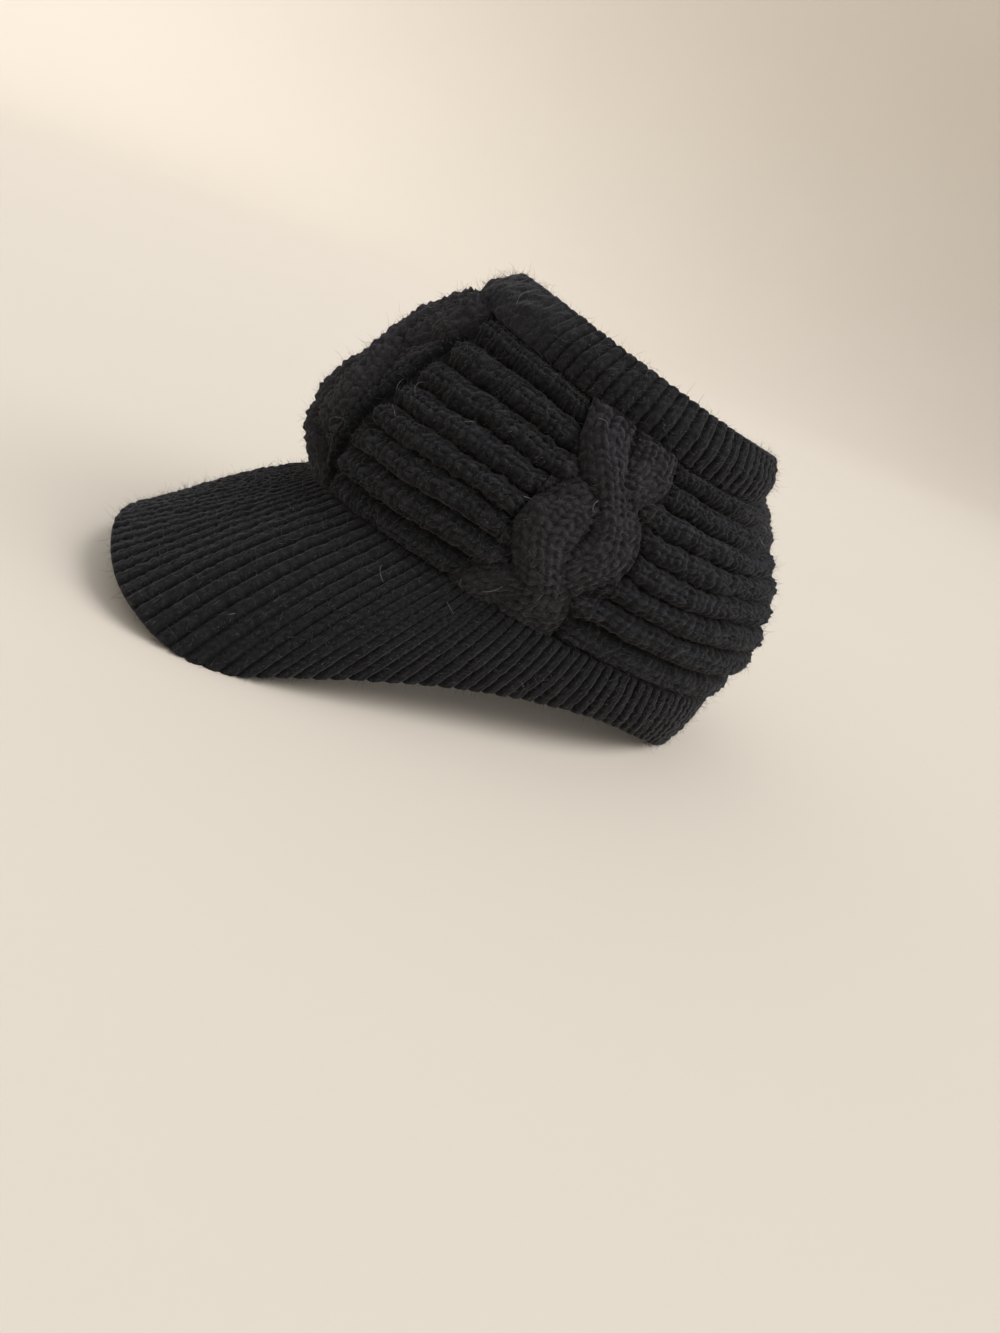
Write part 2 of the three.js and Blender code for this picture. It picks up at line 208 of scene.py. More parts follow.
# Random waves of the knit. Their heights are in rolls, stitches or half widths of a cable, and those of the
# bank and of the wool's own bumps in millimetres.
Wave = namedtuple("Wave", "size seed height")
ROLL_WAVES = (Wave(55 * MM, 11, 0.1), Wave(13 * MM, 18, 0.045), Wave(4.5 * MM, 19, 0.035))
ROLL_STITCH_WAVE = Wave(14 * MM, 12, 0.4)
BANK_WAVE = Wave(9 * MM, 17, 0.8)
CABLE_WAVE = Wave(30 * MM, 21, 0.05)
CABLE_STITCH_WAVE = Wave(12 * MM, 22, 0.3)
RIB_STITCH_WAVE = Wave(13 * MM, 0, 0.3)
WOOL_WAVES = (Wave(1.7 * MM, 0, 0.13), Wave(3.6 * MM, 1, 0.24), Wave(9 * MM, 2, 0.3))
ROLL_WOOL_SEED = 13
CABLE_WOOL_SEED = 23
PEAK_SEED = 31
BAND_SEED = 41
RIM_SEED = 51

# Shares of roundness and stitches in the height that the wool's colour follows. The height is painted shade:
# the grooves between rolls, ribs and stitches are painted darker than the tops, and the inner sides get one
# fixed middle value.
Tone = namedtuple("Tone", "round fine base")
ROLL_PAINTED_SHADE = Tone(0.6, 0.75, -0.3)
BANK_PAINTED_SHADE = Tone(0, 0.75, 0.2)
STRAND_PAINTED_SHADE = Tone(0.25, 0.75, 0.15)
RIB_PAINTED_SHADE = Tone(0.6, 0.7, -0.15)
INNER_PAINTED_SHADE = 0.6

# Cells of each wall's flat grid, cuts of its outer side, and the degrees from which an edge looks sharp.
PANEL_CELLS = (15, 15)
CABLE_CELLS = (7, 14)
PEAK_CELLS = (60, 10)
BAND_CELLS = (55, 5)
RIM_CELLS = (74, 4)
OUTER_CUTS = 10
WELD = 0.01 * MM
SHARP_ANGLE = 75

# Wool: noise scales per metre and the colour's turn to brown.
PATCH_SCALE = 26
STRAND_SCALE = 900
FINE_SCALE = 2600
BROWN = (1.18, 0.96, 0.9)
BROWN_SHARE = 0.45
BUMP_STRENGTH = 0.7
BUMP_DISTANCE = 0.5 * MM

# Loose fibres by the first letters of their sources' names, their count and their slot.
FUZZ = {
    "fuzz_rolls": ("panel_", 12000, "roll_knit"),
    "fuzz_cables": ("cable_", 6000, "cable_knit"),
    "fuzz_ribs": (("peak_", "band_", "rim_"), 14000, "rib_knit"),
}
FUZZ_SEED = 60
FIBRE_KNOTS = 3
FIBRE_SPREAD = 0.45
FIBRE_LIMITS = (0.3, 3)
FIBRE_LEAN = 0.75
FIBRE_LEAST_LIFT = 0.25
FIBRE_BEND = 0.55
FIBRE_TAPER = 0.5
GROOVE_FIBRES = 0.1
ROOT_DEPTH = 0.3 * MM
FLOOR_CLEARANCE = 0.3 * MM

# Stray hairs, the count for each knitted piece. LINT_LENGTHS holds the shortest and longest in millimetres.
LINT_COUNT = 5
LINT_SEED = 70
LINT_KNOTS = 9
LINT_LENGTHS = (3, 10)
LINT_CURL = 2.2
LINT_STRAIGHT = 0.05
LINT_CLEARANCE = 0.4 * MM
LINT_ARCH = 1.6 * MM
LINT_RISE = 0.15
LINT_RADIUS = 0.05 * MM

# Stage. The camera stands where the photo's camera stood to the cap.
FLOOR_RADIUS = 2.4
COVE_RADIUS = 1.2
COVE_STEPS = 10
WALL_HEIGHT = 0.4
CAMERA_PLACE = Vector((0.4039, -0.1297, 0.1738))
CAMERA_RIGHT = Vector((0.2079, 0.9088, 0.3617))
CAMERA_UP = Vector((-0.4667, -0.2328, 0.8532))
CAMERA_BACK = Vector((0.8596, -0.3462, 0.3758))
CAMERA_LENS = 27.03
CAMERA_SENSOR = 36.0
WORLD_COLOUR = (0.96, 0.98, 1.0, 1.0)
WORLD_STRENGTH = 0.54


def measure(name, description, millimetres):
    return FloatProperty(
        name=name, description=description, default=millimetres * MM, unit="LENGTH", subtype="DISTANCE")


def colour(name, description, default):
    return FloatVectorProperty(
        name=name, description=description, default=default, size=3, min=0, max=1, subtype="COLOR")


class CapSizes(bpy.types.PropertyGroup):
    """Lengths of the cap and of its knitting."""

    crown_length: measure("Crown length", "Forehead to nape at the crown's lower seam", 201)
    crown_width: measure("Crown width", "Side to side over the rolls, at the widest", 163)
    crown_rise: measure("Crown rise", "Lower seam up to the rim", 90)
    back_fullness: FloatProperty(
        name="Back fullness", description="How far round the sides the widest place moves back",
        default=0.1, unit="ROTATION", subtype="ANGLE")
    seam_tilt: measure("Seam tilt", "How much higher the lower seam is at the forehead than at the nape", 38)
    seam_height: measure("Seam height", "Middle of the lower seam above the floor", 41)
    peak_reach: measure("Peak reach", "How far the peak stands out ahead of the forehead", 67)
    rim_height: measure("Rim height", "Height of the ribbed rim", 20)
    cable_width: measure("Cable width", "Width of a cable at its widest", 44)
    cable_relief: measure("Cable relief", "Height of a strand above the rolls", 5)
    cable_crossing: measure("Cable crossing", "How much higher the strand on top lies at a crossing", 1.5)
    roll_count: IntProperty(
        name="Rolls", description="Thick knitted rolls from the lower seam to the rim", default=8)
    roll_relief: measure("Roll relief", "Depth of the groove between two rolls", 3.2)
    roll_end: measure("Roll end", "How far the end of a roll tucks down beside a cable", 2.6)
    rib_pitch: measure("Rib pitch", "Distance between two fine ribs", 5.5)
    rib_relief: measure("Rib relief", "Depth of the groove between two fine ribs", 1.1)
    stitch: measure("Stitch", "Length of one stitch", 3.5)
    crown_wall: measure("Crown wall", "Thickness of the crown", 7)
    peak_wall: measure("Peak wall", "Thickness of the peak", 6)
    band_wall: measure("Band wall", "Thickness of the band", 5)
    rim_wall: measure("Rim wall", "Thickness of the rim", 5)
    lip: measure("Lip", "How far a rounded free edge stands out", 2)
    gap: measure("Gap", "Gap between neighbouring pieces", 0.1)
    cable_gap: measure("Cable gap", "Gap between a cable and a panel", 0.1)
    rim_gap: measure("Rim gap", "Gap between crown and rim", 0.15)
    fibre_length: measure("Fibre length", "Usual length of a loose wool fibre", 2.5)
    fibre_width: measure("Fibre width", "Width of a loose wool fibre at its root", 0.085)


class CapColours(bpy.types.PropertyGroup):
    """Colours of the wool and of the stage. The groove colour is painted shade, not a colour of the wool."""

    roll: colour("Rolls", "Wool on top of the rolls", (0.0215, 0.0235, 0.0285))
    # The cables are the same charcoal wool as the rolls. Their lighter top colour is painted light, for the
    # light that the raised strands catch.
    cable: colour("Cables", "Wool on top of the cables", (0.0335, 0.0325, 0.038))
    rib: colour("Ribs", "Wool on top of the fine ribs", (0.0175, 0.0185, 0.0215))
    # Painted shade: this colour is mixed in where the knit is deep, in the grooves and between stitches.
    groove: colour("Grooves", "Wool deep in the grooves", (0.0009, 0.0009, 0.001))
    fibre: colour("Fibres", "Loose fibres", (0.028, 0.028, 0.031))
    lint: colour("Lint", "Pale stray hairs caught in the knit", (0.3, 0.29, 0.28))
    floor: colour("Floor", "Floor and backdrop", (0.76, 0.685, 0.59))


# Numbers on arrays

def column_at(rows, name, place):
    """Smooth value of a table's column, at places counted in rows."""
    values = np.array([getattr(row, name) for row in rows], float)
    index = np.floor(place).astype(int)
    part = place - index
    last = len(values) - 1
    a, b, c, d = (values[np.clip(index + step, 0, last)] for step in (-1, 0, 1, 2))
    bend = 2 * a - 5 * b + 4 * c - d
    twist = 3 * (b - c) + d - a
    return b + 0.5 * part * (c - a + part * (bend + part * twist))


def unit(vectors):
    return vectors / np.maximum(np.linalg.norm(vectors, axis=-1, keepdims=True), 1e-12)


def smooth_step(value):
    held = np.clip(value, 0, 1)
    return held * held * (3 - 2 * held)


def scaled(vectors, lengths):
    return vectors * np.asarray(lengths)[..., None]


def unevenness(points, size, seed, waves=12):
    """A soft random field with bumps of about the given size, mostly between -1 and 1."""
    draw = np.random.default_rng(seed)
    directions = unit(draw.normal(size=(waves, 3))) * draw.uniform(0.6, 1.5, (waves, 1)) * math.tau / size
    phases = draw.uniform(0, math.tau, waves)
    return np.sin(points @ directions.T + phases).sum(axis=-1) / math.sqrt(waves)


def mirrored(rows):
    """The edge's rows carried on past the tip of the peak and past the nape."""
    before = [row._replace(root=-row.root, side=-row.side) for row in rows[:0:-1]]
    after = [row._replace(root=360 - row.root, side=-row.side) for row in rows[-2::-1]]
    return before + rows + after


Surface = namedtuple("Surface", "normal upward stretch")


class CapShape:
    """The cap's skins, each a function of a place round the head and a rise, worked out from the sizes."""

    ANGLE_STEP = 0.5
    CROWN_STEP = 0.01
    RIM_STEP = 0.05
    PLACE_STEP = 0.1
    LOWER_STEP = 0.02
    SEAM_BLEND = 0.12
    EDGE_SAMPLES = 40

    def __init__(self, sizes):
        self.sizes = sizes
        self.edge_rows = mirrored(EDGE_ROWS)
        self.first_row = len(EDGE_ROWS) - 1
        self.shift = np.zeros(3)
        tip = self.lower_lip(np.zeros(1), sizes.peak_wall, np.full(1, 0.5))
        self.shift = np.array([0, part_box("peak")[0].y - tip[0, 1], sizes.seam_height])

    def surface(self, skin, across, up, across_step, up_step):
        upward = unit(skin(across, up + up_step) - skin(across, up - up_step))
        sideways = skin(across + across_step, up) - skin(across - across_step, up)
        normal = unit(np.cross(sideways, upward))
        return Surface(normal, upward, np.linalg.norm(sideways, axis=-1) / (2 * across_step))

    def oval(self, ends, turn):
        share = (1 - np.cos(turn)) / 2
        across = ends["half"] * np.sin(turn - self.sizes.back_fullness * np.sin(turn))
        along = ends["front"] + (ends["back"] - ends["front"]) * share
        height = ends["front_rise"] + (ends["back_rise"] - ends["front_rise"]) * share
        height = height + ends["side"] * np.sin(turn) ** 2
        return np.stack(np.broadcast_arrays(across, along, height), axis=-1)

    def crown_ends(self, rise):
        sizes = self.sizes
        place = rise * (len(CROWN_ROWS) - 1)
        share = {name: column_at(CROWN_ROWS, name, place) for name in CrownRow._fields}
        return {
            "front": share["front"] * sizes.crown_length,
            "front_rise": sizes.seam_tilt / 2 + share["front_rise"] * sizes.crown_rise,
            "back": share["back"] * sizes.crown_length,
            "back_rise": -sizes.seam_tilt / 2 + share["back_rise"] * sizes.crown_rise,
            "half": share["half"] * sizes.crown_width,
            "side": share["side"] * sizes.crown_rise,
        }

    def crown_skin(self, angle, rise):
        return self.oval(self.crown_ends(rise), np.radians(angle)) + self.shift

    def rim_skin(self, angle, rise):
        ends = self.crown_ends(np.ones(1))
        place = rise * (len(RIM_ROWS) - 1)
        for name in CrownRow._fields:
            ends[name] = ends[name] + column_at(RIM_ROWS, name, place) * self.sizes.rim_height
        return self.oval(ends, np.radians(angle)) + self.shift

    def crown_surface(self, angle, rise):
        return self.surface(self.crown_skin, angle, rise, self.ANGLE_STEP, self.CROWN_STEP)

    def rim_surface(self, angle, rise):
        return self.surface(self.rim_skin, angle, rise, self.ANGLE_STEP, self.RIM_STEP)

    def edge_value(self, name, place):
        return column_at(self.edge_rows, name, place + self.first_row)

    def free_edge(self, place):
        sizes = self.sizes
        across = self.edge_value("side", place) * sizes.crown_width
        along = self.edge_value("along", place) * sizes.crown_length
        ahead = self.edge_value("reach", place) * sizes.peak_reach
        height = -self.edge_value("drop", place) * sizes.seam_height
        return np.stack([across, along - ahead, height], axis=-1) + self.shift

    def seam_point(self, place):
        angle = self.edge_value("root", place)
        bottom = np.zeros_like(angle)
        upward = self.crown_surface(angle, bottom).upward
        return self.crown_skin(angle, bottom) - upward * self.sizes.gap

    def lower_skin(self, place, rise):
        """The skin from the free edge, at rise 0, to the crown's seam, at rise 1."""
        edge = self.free_edge(place)
        seam = self.seam_point(place)
        chord = seam - edge
        step = self.PLACE_STEP
        along = self.free_edge(place + step) - self.free_edge(place - step)
        along += self.seam_point(place + step) - self.seam_point(place - step)
        outward = unit(np.cross(along, chord))
        swell = self.edge_value("swell", place) * np.linalg.norm(chord, axis=-1)
        return edge + scaled(chord, rise) + scaled(outward, swell * 4 * rise * (1 - rise))

    def lower_surface(self, place, rise):
        return self.surface(self.lower_skin, place, rise, self.PLACE_STEP, self.LOWER_STEP)

    def lower_normal(self, place, rise):
        """Normal of the lower wall, which turns to the crown's own just under the seam."""
        own = self.lower_surface(place, rise).normal
        angle = self.edge_value("root", place)
        seam = self.crown_surface(angle, np.zeros_like(angle)).normal
        share = smooth_step((rise - 1 + self.SEAM_BLEND) / self.SEAM_BLEND)
        return unit(own + scaled(seam - own, share))

    def lower_lip(self, place, wall, turn_share, relief=0):
        """The rounded free edge, from the outer face at turn share 0 to the inner face at 1."""
        bottom = np.zeros_like(place)
        edge = self.lower_surface(place, bottom)
        turn = turn_share * math.pi
        depth = relief * (1 - turn_share) - wall * (1 - np.cos(turn)) / 2
        ahead = -self.sizes.lip * np.sin(turn)
        return self.lower_skin(place, bottom) + scaled(edge.normal, depth) + scaled(edge.upward, ahead)

    def pressed(self, points):
        """The knit is pressed flat where the cap stands on the floor."""
        floor = self.shift[2] - self.sizes.seam_height
        points[:, 2] = np.maximum(points[:, 2], floor)
        return points

    def places(self, first, last):
        """Function from a share of the free edge's length, between two rows, to a place."""
        samples = np.linspace(first, last, self.EDGE_SAMPLES * (last - first) + 1)
        steps = np.linalg.norm(np.diff(self.free_edge(samples), axis=0), axis=-1)
        lengths = np.concatenate([[0], np.cumsum(steps)])
        return (lambda share: np.interp(share * lengths[-1], lengths, samples)), lengths[-1]

    def cable_edge(self, rows, centre, rise, hand):
        place = rise * (len(rows) - 1)
        middle = centre + column_at(rows, "middle", place)
        half = column_at(rows, "half", place) * self.sizes.cable_width
        return middle + hand * half / self.crown_surface(middle, rise).stretch


def stitch_relief(column, along):
    """Height from 0 to 1 of knit stitches. A column is a row of V shapes that point along the row."""
    off = np.abs(column % 1 - 0.5) * 2
    arm = np.sqrt(np.sin(math.pi * np.clip(off, 0, 1)))
    bead = 0.5 + 0.5 * np.cos(math.tau * (along + 0.55 * off))
    return arm * (0.3 + 0.7 * bead)


# Making a wall from a flat grid

def values_of(items, name, width=1, kind=float):
    """A value of all a mesh's items, as an array of rows where the value has more than one number."""
    values = np.empty(len(items) * width, kind)
    items.foreach_get(name, values)
    return values.reshape(-1, width) if width > 1 else values


def vertex_values(mesh):
    """Each vertex's place on the flat grid, and whether it lies on the wall's inner side."""
    spots = np.zeros((len(mesh.vertices), 2))
    spots[values_of(mesh.loops, "vertex_index", 1, int)] = values_of(mesh.uv_layers.active.data, "uv", 2)
    inner = np.array([len(vertex.groups) > 0 and vertex.groups[0].weight > 0.5 for vertex in mesh.vertices])
    return spots[:, 0], spots[:, 1], inner


def move_vertices(mesh, points):
    mesh.vertices.foreach_set("co", np.ascontiguousarray(points, float).ravel())
    mesh.update()


def grid_wall(name, cells, thickness, outer, inner, ring=False):
    """A closed wall: a flat grid is bent, thickened, its outer side subdivided and its vertices set."""
    bpy.ops.object.select_all(action="DESELECT")
    bpy.ops.mesh.primitive_grid_add(x_subdivisions=cells[0], y_subdivisions=cells[1], size=1, calc_uvs=True)
    piece = bpy.context.active_object
    piece.name = name
    piece.data.name = name
    across, up, _ = vertex_values(piece.data)
    move_vertices(piece.data, outer(across, up)[0])
    if ring:
        bpy.ops.object.mode_set(mode="EDIT")
        bpy.ops.mesh.select_all(action="SELECT")
        bpy.ops.mesh.remove_doubles(threshold=WELD)
        bpy.ops.object.mode_set(mode="OBJECT")
    piece.vertex_groups.new(name="inner side")
    solid = piece.modifiers.new("Wall", "SOLIDIFY")
    solid.thickness = thickness
    solid.offset = -1
    solid.shell_vertex_group = "inner side"
    bpy.ops.object.modifier_apply(modifier=solid.name)
    _, _, inside = vertex_values(piece.data)
    bpy.ops.object.mode_set(mode="EDIT")
    bpy.ops.mesh.select_mode(type="FACE")
    bpy.ops.mesh.select_all(action="DESELECT")
    bpy.ops.object.mode_set(mode="OBJECT")
    for face in piece.data.polygons:
        face.select = not any(inside[corner] for corner in face.vertices)
    bpy.ops.object.mode_set(mode="EDIT")
    bpy.ops.mesh.subdivide(number_cuts=OUTER_CUTS)
    bpy.ops.object.mode_set(mode="OBJECT")
    mesh = piece.data
    across, up, inside = vertex_values(mesh)
    # outer also gives the height, a painted shade value kept as an attribute for the wool's colour; the inner
    # side gets one fixed value.
    points, height = outer(across, up)
    points[inside] = inner(across[inside], up[inside])
    height[inside] = INNER_PAINTED_SHADE
    move_vertices(mesh, points)
    mesh.attributes.new("height", "FLOAT", "POINT").data.foreach_set("value", height)
    mesh.attributes.new("inside", "FLOAT", "POINT").data.foreach_set("value", inside.astype(float))
    bpy.ops.object.shade_smooth_by_angle(angle=math.radians(SHARP_ANGLE))
    return piece


def finish_piece(piece, material, slot, *nodes):
    """Gives a piece its material and body, and hides the solids that it replaces. The slot is not used."""
    piece.data.materials.clear()
    piece.data.materials.append(material)
    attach(piece, BODY)
    if nodes:
        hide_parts(*nodes)


# Shader maths

class Value:
    """A shader socket that adds Math nodes when it is used in an expression."""

    def __init__(self, graph, socket):
        self.graph = graph
        self.socket = socket

    def __add__(self, other):
        return self.graph.maths("ADD", self, other)

    def __sub__(self, other):
        return self.graph.maths("SUBTRACT", self, other)

    def __mul__(self, other):
        return self.graph.maths("MULTIPLY", self, other)


class Graph:
    """A material's nodes."""

    def __init__(self, name):
        self.material = bpy.data.materials.new(name)
        self.material.use_nodes = True
        self.tree = self.material.node_tree
        self.tree.nodes.clear()

    def node(self, kind, settings=None, **sockets):
        node = self.tree.nodes.new(kind)
        for name, value in (settings or {}).items():
            setattr(node, name, value)
        for name, value in sockets.items():
            self.feed(node.inputs[name.replace("_", " ")], value)
        return node

    def feed(self, socket, value):
        if isinstance(value, Value):
            value = value.socket
        if isinstance(value, bpy.types.NodeSocket):
            self.tree.links.new(value, socket)
        else:
            socket.default_value = value

    def maths(self, operation, first, second):
        node = self.node("ShaderNodeMath", {"operation": operation})
        self.feed(node.inputs[0], first)
        self.feed(node.inputs[1], second)
        return Value(self, node.outputs[0])

    def mix(self, factor, dark, light):
        node = self.node("ShaderNodeMix", {"data_type": "RGBA"})
        self.feed(node.inputs[0], factor)
        self.feed(node.inputs[6], dark)
        self.feed(node.inputs[7], light)
        return node.outputs[2]

    def noise(self, place, scale, detail, roughness=0.5):
        node = self.node("ShaderNodeTexNoise", Vector=place, Scale=scale, Detail=detail, Roughness=roughness)
        return Value(self, node.outputs["Fac"])

    def finish(self, shader):
        self.node("ShaderNodeOutputMaterial", Surface=shader.outputs[0])
        return self.material


def opaque(rgb):
    return (*rgb, 1.0)


def wool_material(name, top, groove):
    """Matt wool with painted shade in the grooves, fine fibres and a soft sheen."""
    graph = Graph(name)
    place = graph.node("ShaderNodeTexCoord").outputs["Object"]
    height = Value(graph, graph.node("ShaderNodeAttribute", {"attribute_name": "height"}).outputs["Fac"])
    patches = graph.noise(place, PATCH_SCALE, 2)
    strands = graph.noise(place, STRAND_SCALE, 3, 0.65)
    fibres = graph.noise(place, FINE_SCALE, 2, 0.7)
    brown = [part * share for part, share in zip(top, BROWN)]
    worn = graph.mix(patches * BROWN_SHARE, opaque(top), opaque(brown))
    # Painted shade: the groove colour is mixed in where the height attribute is low; the strand noise varies
    # it at random.
    lit = graph.mix(height * 0.9 + strands * 1.3 - 0.7, opaque(groove), worn)
    bumps = strands * 0.7 + fibres * 0.4
    relief = graph.node("ShaderNodeBump", Strength=BUMP_STRENGTH, Distance=BUMP_DISTANCE, Height=bumps)
    shader = graph.node(
        "ShaderNodeBsdfPrincipled", None,
        Base_Color=lit, Roughness=0.96, Normal=relief.outputs[0],
        Specular_IOR_Level=0.2, Sheen_Weight=0.17, Sheen_Roughness=0.45, Sheen_Tint=(0.62, 0.6, 0.64, 1.0))
    return graph.finish(shader)


def fibre_material(name, rgb, sheen):
    graph = Graph(name)
    place = graph.node("ShaderNodeTexCoord").outputs["Object"]
    patches = graph.noise(place, scale=300, detail=2)
    tone = graph.mix(patches, opaque([part * 0.6 for part in rgb]), opaque([part * 1.3 for part in rgb]))
    shader = graph.node(
        "ShaderNodeBsdfPrincipled", None,
        Base_Color=tone, Roughness=0.8, Specular_IOR_Level=0.3, Sheen_Weight=sheen, Sheen_Roughness=0.5)
    return graph.finish(shader)


def floor_material(rgb):
    graph = Graph("pale floor")
    place = graph.node("ShaderNodeTexCoord").outputs["Object"]
    patches = graph.noise(place, scale=3, detail=2)
    tone = graph.mix(patches, opaque([part * 0.97 for part in rgb]), opaque(rgb))
    return graph.finish(graph.node("ShaderNodeBsdfPrincipled", None, Base_Color=tone, Roughness=0.9))


def shared_material(name, make):
    return bpy.data.materials.get(name) or make()


def knit(name):
    colours = bpy.context.scene.cap_colours
    tops = {"roll knit": colours.roll, "cable knit": colours.cable, "rib knit": colours.rib}
    return shared_material(name, lambda: wool_material(name, tops[name], colours.groove))


# Crown

class Stretch:
    """A stretch of crown between two edges, each an angle that changes with the rise."""

    def __init__(self, shape, start, end):
        self.shape = shape
        self.start = start
        self.end = end

    def angle(self, across, rise):
        half_gap = self.shape.sizes.cable_gap / 2
        ends = []
        for edge, clear in ((self.start, 1), (self.end, -1)):
            angle = edge(rise)
            ends.append(angle + clear * half_gap / self.shape.crown_surface(angle, rise).stretch)
        return ends[0] + (ends[1] - ends[0]) * across

    def width(self):
        rise = np.full(1, 0.5)
        angles = [edge(rise) for edge in (self.start, self.end)]
        return float((angles[1] - angles[0])[0] * self.shape.crown_surface(sum(angles) / 2, rise).stretch[0])

    def outer(self, across, rise, relief):
        angle = self.angle(across, rise)
        normal = self.shape.crown_surface(angle, rise).normal
        return self.shape.crown_skin(angle, rise) + scaled(normal, relief)

    def inner(self, across, rise):
        return self.outer(across, rise, np.full_like(rise, -self.shape.sizes.crown_wall))


def crown_edges(shape):
    """Edges between cables and panels, each an angle by rise. front_end is front_right, one turn on."""
    def edge(rows, centre, hand):
        return lambda rise: shape.cable_edge(rows, centre, rise, hand)

    def mirror(at):
        return lambda rise: 360 - at(rise)

    edges = {
        "front_right": edge(END_CABLE_ROWS, 0, -1),
        "front_left": edge(END_CABLE_ROWS, 0, 1),
        "left_front": edge(SIDE_CABLE_ROWS, 0, -1),
        "left_back": edge(SIDE_CABLE_ROWS, 0, 1),
        "back_left": edge(END_CABLE_ROWS, 180, -1),
        "back_right": edge(END_CABLE_ROWS, 180, 1),
    }
    edges["right_back"] = mirror(edges["left_back"])
    edges["right_front"] = mirror(edges["left_front"])
    edges["front_end"] = mirror(edges["front_left"])
    return edges


def wavy(points, waves, seed=0):
    """Sum of random waves, with a number that is added to their seeds."""
    return sum(unevenness(points, wave.size, wave.seed + seed) * wave.height for wave in waves)


def woolly(points, seed, strength):
    """Small random bumps of the soft, felted surface."""
    return wavy(points, WOOL_WAVES, seed) * MM * strength


# Painted shade value: lighter on the round tops and stitch bumps, darker in the grooves.
def painted_shade_of(tone, round_share, fine):
    return round_share * tone.round + fine * tone.fine + tone.base


def strand_turn(rise):
    return np.radians(column_at(STRAND_ROWS, "turn", rise * (len(STRAND_ROWS) - 1)))


def bare_width(sizes, rise):
    """Width of crown that a cable's strands leave bare at each side of the cable."""
    reach = STRAND_SWING * np.abs(np.cos(strand_turn(rise))) + STRAND_HALF
    half = END_CABLE_ROWS[0].half * sizes.cable_width
    return np.maximum(0, 1 - reach) * half


def deepest(rise):
    """The lowest relief, which is shallower beside the seams."""
    from_seam = smooth_step(np.minimum(rise, 1 - rise) / SEAM_REACH)
    return -SEAM_DEEPEST - (DEEPEST - SEAM_DEEPEST) * from_seam


def roll_knit(sizes, base, rise, along, from_strand):
    """Relief of the thick rolls, and their height, a painted shade value that is dark in the grooves and
    where a roll's end tucks down beside a strand. along counts stitches, from_strand is the way to a strand.
    """
    rolls = rise * sizes.roll_count + wavy(base, ROLL_WAVES) * np.sin(math.pi * rise)
    part = rolls % 1
    round_share = np.abs(np.sin(math.pi * part)) ** ROLL_ROUNDNESS
    groove = np.exp(-(np.minimum(part, 1 - part) / GROOVE_HALF) ** 2)
    tuck = (1 - np.clip(from_strand / END_REACH, 0, 1)) ** 2
    along = along + wavy(base, [ROLL_STITCH_WAVE]) + np.floor(rolls) * ROLL_STITCH_SHIFT
    fine = stitch_relief(part * 2, along) * round_share
    relief = -sizes.roll_relief * (1 - round_share) - GROOVE_DEPTH * groove - sizes.roll_end * tuck
    relief += ROLL_STITCH_HEIGHT * (fine - 0.5) + woolly(base, ROLL_WOOL_SEED, ROLL_WOOLLINESS)
    # Painted shade: darker in the grooves, between stitches and on the tucked ends.
    height = np.clip(painted_shade_of(ROLL_PAINTED_SHADE, round_share, fine) - END_PAINTED_SHADE * tuck, 0, 1)
    return np.maximum(relief, deepest(rise)), height


def end_bank(rise):
    """Width of the plain knit beside the front and back cables, from the cable's edge to the deep groove."""
    return END_BANK * np.sin(math.pi * rise)


def cable_stitches(sizes, base, rise):
    """Stitches counted up the crown."""
    return rise * sizes.crown_rise / sizes.stitch + wavy(base, [CABLE_STITCH_WAVE])


def bank_knit(sizes, base, rise, from_edge):
    """Relief and height of the plain knit beside the front and back cables. The height is a painted shade
    value, darker between stitches.
    """
    fine = stitch_relief(from_edge / BANK_COLUMN + 0.5, cable_stitches(sizes, base, rise))
    relief = CABLE_STITCH_HEIGHT * (fine - BANK_STITCH_LEVEL) + woolly(base, ROLL_WOOL_SEED, ROLL_WOOLLINESS)
    return relief, painted_shade_of(BANK_PAINTED_SHADE, 0, fine)


def soft_highest(first, second):
    """The higher of two heights, with the corner between them rounded."""
    apart = np.clip((first - second) / SOFT_JOIN, -8, 8)
    return second + SOFT_JOIN * np.log1p(np.exp(apart))


def make_panel(shape, name, start, end, end_side):
    """A panel of rolls. A deep groove runs beside the front or back cable, which lies at end_side, 0 or 1."""
    sizes = shape.sizes
    stretch = Stretch(shape, start, end)
    width = stretch.width()

    def outer(across, rise):
        base = stretch.outer(across, rise, np.zeros_like(rise))
        from_strand = np.minimum(across, 1 - across) * width + bare_width(sizes, rise)
        relief, height = roll_knit(sizes, base, rise, across * width / sizes.stitch, from_strand)
        from_end = np.abs(across - end_side) * width
        past_bank = from_end - end_bank(rise) + wavy(base, [BANK_WAVE]) * MM
        flat, flat_shade = bank_knit(sizes, base, rise, from_end)
        banked = smooth_step(-past_bank / END_GROOVE_REACH)
        sunk = np.exp(-(past_bank / END_GROOVE_REACH) ** 4)
        relief = np.maximum(relief + (flat - relief) * banked - END_GROOVE * sunk, deepest(rise))
        # Painted shade in the deep groove beside the front or back cable.
        height = (height + (flat_shade - height) * banked) * (1 - END_GROOVE_PAINTED_SHADE * sunk)
        height = height - END_GROOVE_DEEPER_SHADE * sunk
        return stretch.outer(across, rise, relief), height

    return grid_wall(name, PANEL_CELLS, sizes.crown_wall, outer, stretch.inner)


